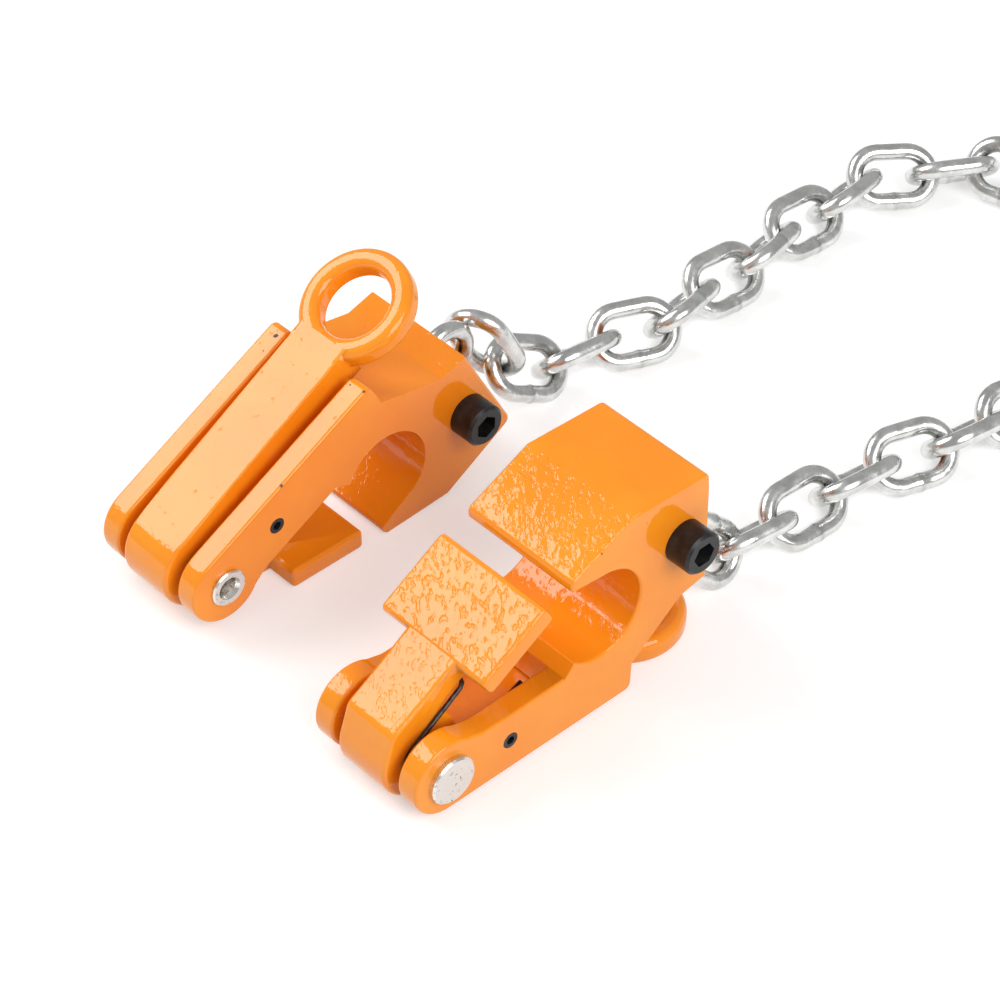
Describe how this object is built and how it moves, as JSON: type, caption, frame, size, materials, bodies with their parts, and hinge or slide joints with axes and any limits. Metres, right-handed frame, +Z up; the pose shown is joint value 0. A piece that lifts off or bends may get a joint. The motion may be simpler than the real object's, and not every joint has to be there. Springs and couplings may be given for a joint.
{
  "type": "drum lifter",
  "caption": "Two leg chain sling for lifting drums by the rim: a ring, two chain legs and a sprung lever clamp on each, with a hooked head, a throat, a gripping pad and a release eye.",
  "frame": {"origin": "on the floor, under the middle of the whole part as it lies in the picture", "axes": "Z is up; X and Y lie on the floor, with Y pointing away from the picture's camera"},
  "size_m": [0.5022, 0.3524, 0.0955],
  "materials": {
    "orange_paint": "gloss enamel over casting",
    "zinc_steel": "zinc plated",
    "black_steel": "black oxide",
    "chain_steel": "bright galvanised"
  },
  "bodies": {
    "ring": {"lifting_ring": "chain_steel"},
    "right_link_17": {"right_link_17": "chain_steel"},
    "right_link_16": {"right_link_16": "chain_steel"},
    "right_link_15": {"right_link_15": "chain_steel"},
    "right_link_14": {"right_link_14": "chain_steel"},
    "right_link_13": {"right_link_13": "chain_steel"},
    "right_link_12": {"right_link_12": "chain_steel"},
    "right_link_11": {"right_link_11": "chain_steel"},
    "right_link_10": {"right_link_10": "chain_steel"},
    "right_link_09": {"right_link_09": "chain_steel"},
    "right_link_08": {"right_link_08": "chain_steel"},
    "right_link_07": {"right_link_07": "chain_steel"},
    "right_link_06": {"right_link_06": "chain_steel"},
    "right_link_05": {"right_link_05": "chain_steel"},
    "right_link_04": {"right_link_04": "chain_steel"},
    "right_link_03": {"right_link_03": "chain_steel"},
    "right_link_02": {"right_link_02": "chain_steel"},
    "right_link_01": {"right_link_01": "chain_steel"},
    "right_clamp": {"right_clamp_body": "orange_paint", "right_pivot_pin": "zinc_steel", "right_return_spring": "black_steel", "right_stop_screws": "black_steel", "right_chain_bolt": "black_steel"},
    "right_lever": {"right_lever": "orange_paint"},
    "left_link_17": {"left_link_17": "chain_steel"},
    "left_link_16": {"left_link_16": "chain_steel"},
    "left_link_15": {"left_link_15": "chain_steel"},
    "left_link_14": {"left_link_14": "chain_steel"},
    "left_link_13": {"left_link_13": "chain_steel"},
    "left_link_12": {"left_link_12": "chain_steel"},
    "left_link_11": {"left_link_11": "chain_steel"},
    "left_link_10": {"left_link_10": "chain_steel"},
    "left_link_09": {"left_link_09": "chain_steel"},
    "left_link_08": {"left_link_08": "chain_steel"},
    "left_link_07": {"left_link_07": "chain_steel"},
    "left_link_06": {"left_link_06": "chain_steel"},
    "left_link_05": {"left_link_05": "chain_steel"},
    "left_link_04": {"left_link_04": "chain_steel"},
    "left_link_03": {"left_link_03": "chain_steel"},
    "left_link_02": {"left_link_02": "chain_steel"},
    "left_link_01": {"left_link_01": "chain_steel"},
    "left_clamp": {"left_clamp_body": "orange_paint", "left_pivot_pin": "zinc_steel", "left_return_spring": "black_steel", "left_stop_screws": "black_steel", "left_chain_bolt": "black_steel"},
    "left_lever": {"left_lever": "orange_paint"}
  },
  "joints": [
    {"name": "right_link_17_swing", "type": "hinge", "parent": "ring", "child": "right_link_17", "pos_m": [0.21569, 0.09012, 0.01403], "axis": [-0.9874, -0.133, 0.086], "range_deg": [-35, 35]},
    {"name": "right_link_16_swing", "type": "hinge", "parent": "right_link_17", "child": "right_link_16", "pos_m": [0.22508, 0.06965, 0.01301], "axis": [0.0001, -0.0003, -1], "range_deg": [-35, 3]},
    {"name": "right_link_15_swing", "type": "hinge", "parent": "right_link_16", "child": "right_link_15", "pos_m": [0.22378, 0.05204, 0.01243], "axis": [-0.1684, 0.2977, 0.9397], "range_deg": [-6, 35]},
    {"name": "right_link_14_swing", "type": "hinge", "parent": "right_link_15", "child": "right_link_14", "pos_m": [0.19676, 0.03644, 0.01253], "axis": [0.1684, -0.2977, -0.9397], "range_deg": [-35, 6]},
    {"name": "right_link_13_swing", "type": "hinge", "parent": "right_link_14", "child": "right_link_13", "pos_m": [0.18181, 0.02655, 0.01131], "axis": [0.1116, 0.5627, 0.8191], "range_deg": [-6, 35]},
    {"name": "right_link_12_swing", "type": "hinge", "parent": "right_link_13", "child": "right_link_12", "pos_m": [0.15109, 0.03197, 0.01177], "axis": [-0.1116, -0.5627, -0.8191], "range_deg": [-35, 6]},
    {"name": "right_link_11_swing", "type": "hinge", "parent": "right_link_12", "child": "right_link_11", "pos_m": [0.13356, 0.03061, 0.01032], "axis": [0.1591, 0.69, 0.7061], "range_deg": [-10, 35]},
    {"name": "right_link_10_swing", "type": "hinge", "parent": "right_link_11", "child": "right_link_10", "pos_m": [0.10287, 0.03602, 0.01194], "axis": [-0.1591, -0.69, -0.7061], "range_deg": [-35, 10]},
    {"name": "right_link_09_swing", "type": "hinge", "parent": "right_link_10", "child": "right_link_09", "pos_m": [0.08647, 0.02851, 0.01021], "axis": [-0.3446, 0.6175, 0.707], "range_deg": [-15, 35]},
    {"name": "right_link_08_swing", "type": "hinge", "parent": "right_link_09", "child": "right_link_08", "pos_m": [0.05945, 0.01291, 0.01066], "axis": [0.3446, -0.6175, -0.707], "range_deg": [-35, 15]},
    {"name": "right_link_07_swing", "type": "hinge", "parent": "right_link_08", "child": "right_link_07", "pos_m": [0.04563, 0.00219, 0.01022], "axis": [-0.2882, 0.6458, 0.707], "range_deg": [-15, 35]},
    {"name": "right_link_06_swing", "type": "hinge", "parent": "right_link_07", "child": "right_link_06", "pos_m": [0.01735, -0.01099, 0.01073], "axis": [0.2882, -0.6458, -0.707], "range_deg": [-35, 15]},
    {"name": "right_link_05_swing", "type": "hinge", "parent": "right_link_06", "child": "right_link_05", "pos_m": [0.00327, -0.02134, 0.01012], "axis": [-0.4607, 0.5365, 0.7071], "range_deg": [-15, 35]},
    {"name": "right_link_04_swing", "type": "hinge", "parent": "right_link_05", "child": "right_link_04", "pos_m": [-0.02063, -0.0414, 0.00976], "axis": [0.4607, -0.5365, -0.7071], "range_deg": [-35, 15]},
    {"name": "right_link_03_swing", "type": "hinge", "parent": "right_link_04", "child": "right_link_03", "pos_m": [-0.03459, -0.05468, 0.00671], "axis": [0.2932, 0.6884, 0.6634], "range_deg": [-15, 3]},
    {"name": "right_link_02_swing", "type": "hinge", "parent": "right_link_03", "child": "right_link_02", "pos_m": [-0.05626, -0.06479, 0.02676], "axis": [-0.2932, -0.6884, -0.6634], "range_deg": [-35, 2]},
    {"name": "right_link_01_swing", "type": "hinge", "parent": "right_link_02", "child": "right_link_01", "pos_m": [-0.06113, -0.06788, 0.05123], "axis": [-0.6385, 0.7691, -0.0298], "range_deg": [0, 35]},
    {"name": "right_clamp_swing", "type": "hinge", "parent": "right_link_01", "child": "right_clamp", "pos_m": [-0.07206, -0.07841, 0.0553], "axis": [0.6756, -0.7373, 0], "range_deg": [-34, 0]},
    {"name": "right_lever_open", "type": "hinge", "parent": "right_clamp", "child": "right_lever", "pos_m": [-0.148, -0.148, 0.016], "axis": [-0.6756, 0.7373, 0], "range_deg": [0, 27], "stiffness_Nm_per_rad": 1, "springref_deg": -25.78, "deforming": ["right_return_spring"]},
    {"name": "left_link_17_swing", "type": "hinge", "parent": "ring", "child": "left_link_17", "pos_m": [0.17893, 0.11042, 0.01403], "axis": [-0.4135, 0.9065, -0.086], "range_deg": [-35, 35]},
    {"name": "left_link_16_swing", "type": "hinge", "parent": "left_link_17", "child": "left_link_16", "pos_m": [0.16427, 0.12235, 0.013], "axis": [-0.3375, -0.9252, 0.1736], "range_deg": [-35, 15]},
    {"name": "left_link_15_swing", "type": "hinge", "parent": "left_link_16", "child": "left_link_15", "pos_m": [0.13495, 0.13302, 0.01288], "axis": [0.3375, 0.9252, -0.1736], "range_deg": [-15, 35]},
    {"name": "left_link_14_swing", "type": "hinge", "parent": "left_link_15", "child": "left_link_14", "pos_m": [0.12055, 0.14313, 0.01239], "axis": [-0.3718, -0.7822, 0.5], "range_deg": [-35, 15]},
    {"name": "left_link_13_swing", "type": "hinge", "parent": "left_link_14", "child": "left_link_13", "pos_m": [0.09228, 0.15632, 0.01199], "axis": [0.3718, 0.7822, -0.5], "range_deg": [-15, 35]},
    {"name": "left_link_12_swing", "type": "hinge", "parent": "left_link_13", "child": "left_link_12", "pos_m": [0.07789, 0.16764, 0.01118], "axis": [0.1091, -0.6988, 0.707], "range_deg": [-35, 10]},
    {"name": "left_link_11_swing", "type": "hinge", "parent": "left_link_12", "child": "left_link_11", "pos_m": [0.04717, 0.16222, 0.01056], "axis": [-0.1091, 0.6988, -0.707], "range_deg": [-10, 35]},
    {"name": "left_link_10_swing", "type": "hinge", "parent": "left_link_11", "child": "left_link_10", "pos_m": [0.02902, 0.16075, 0.01025], "axis": [0.554, -0.4399, 0.7068], "range_deg": [-35, 15]},
    {"name": "left_link_09_swing", "type": "hinge", "parent": "left_link_10", "child": "left_link_09", "pos_m": [0.00898, 0.13686, 0.0111], "axis": [-0.554, 0.4399, -0.7068], "range_deg": [-15, 35]},
    {"name": "left_link_08_swing", "type": "hinge", "parent": "left_link_09", "child": "left_link_08", "pos_m": [-0.00545, 0.12666, 0.01028], "axis": [0.5945, -0.3838, 0.7066], "range_deg": [-35, 15]},
    {"name": "left_link_07_swing", "type": "hinge", "parent": "left_link_08", "child": "left_link_07", "pos_m": [-0.02333, 0.10112, 0.01146], "axis": [-0.5945, 0.3838, -0.7066], "range_deg": [-15, 35]},
    {"name": "left_link_06_swing", "type": "hinge", "parent": "left_link_07", "child": "left_link_06", "pos_m": [-0.03809, 0.09115, 0.01036], "axis": [0.6073, -0.3654, 0.7054], "range_deg": [-35, 15]},
    {"name": "left_link_05_swing", "type": "hinge", "parent": "left_link_06", "child": "left_link_05", "pos_m": [-0.05594, 0.06566, 0.01252], "axis": [-0.6073, 0.3654, -0.7054], "range_deg": [-15, 35]},
    {"name": "left_link_04_swing", "type": "hinge", "parent": "left_link_05", "child": "left_link_04", "pos_m": [-0.07405, 0.06213, 0.01015], "axis": [0.4044, -0.58, 0.7071], "range_deg": [-35, 15]},
    {"name": "left_link_03_swing", "type": "hinge", "parent": "left_link_04", "child": "left_link_03", "pos_m": [-0.09961, 0.04423, 0.01009], "axis": [-0.4044, 0.58, -0.7071], "range_deg": [-15, 35]},
    {"name": "left_link_02_swing", "type": "hinge", "parent": "left_link_03", "child": "left_link_02", "pos_m": [-0.11456, 0.03649, 0.01708], "axis": [0.8796, -0.37, 0.2988], "range_deg": [-35, 15]},
    {"name": "left_link_01_swing", "type": "hinge", "parent": "left_link_02", "child": "left_link_01", "pos_m": [-0.12651, 0.03092, 0.04536], "axis": [-0.8796, 0.37, -0.2988], "range_deg": [-10, 35]},
    {"name": "left_clamp_swing", "type": "hinge", "parent": "left_link_01", "child": "left_clamp", "pos_m": [-0.14335, 0.0109, 0.03326], "axis": [-0.6756, 0.7373, 0], "range_deg": [-10, 20]},
    {"name": "left_lever_open", "type": "hinge", "parent": "left_clamp", "child": "left_lever", "pos_m": [-0.224, -0.063, 0.01961], "axis": [0.6756, -0.7373, 0], "range_deg": [-2.5, 24], "stiffness_Nm_per_rad": 1, "springref_deg": -25.78, "deforming": ["left_return_spring"]}
  ]
}
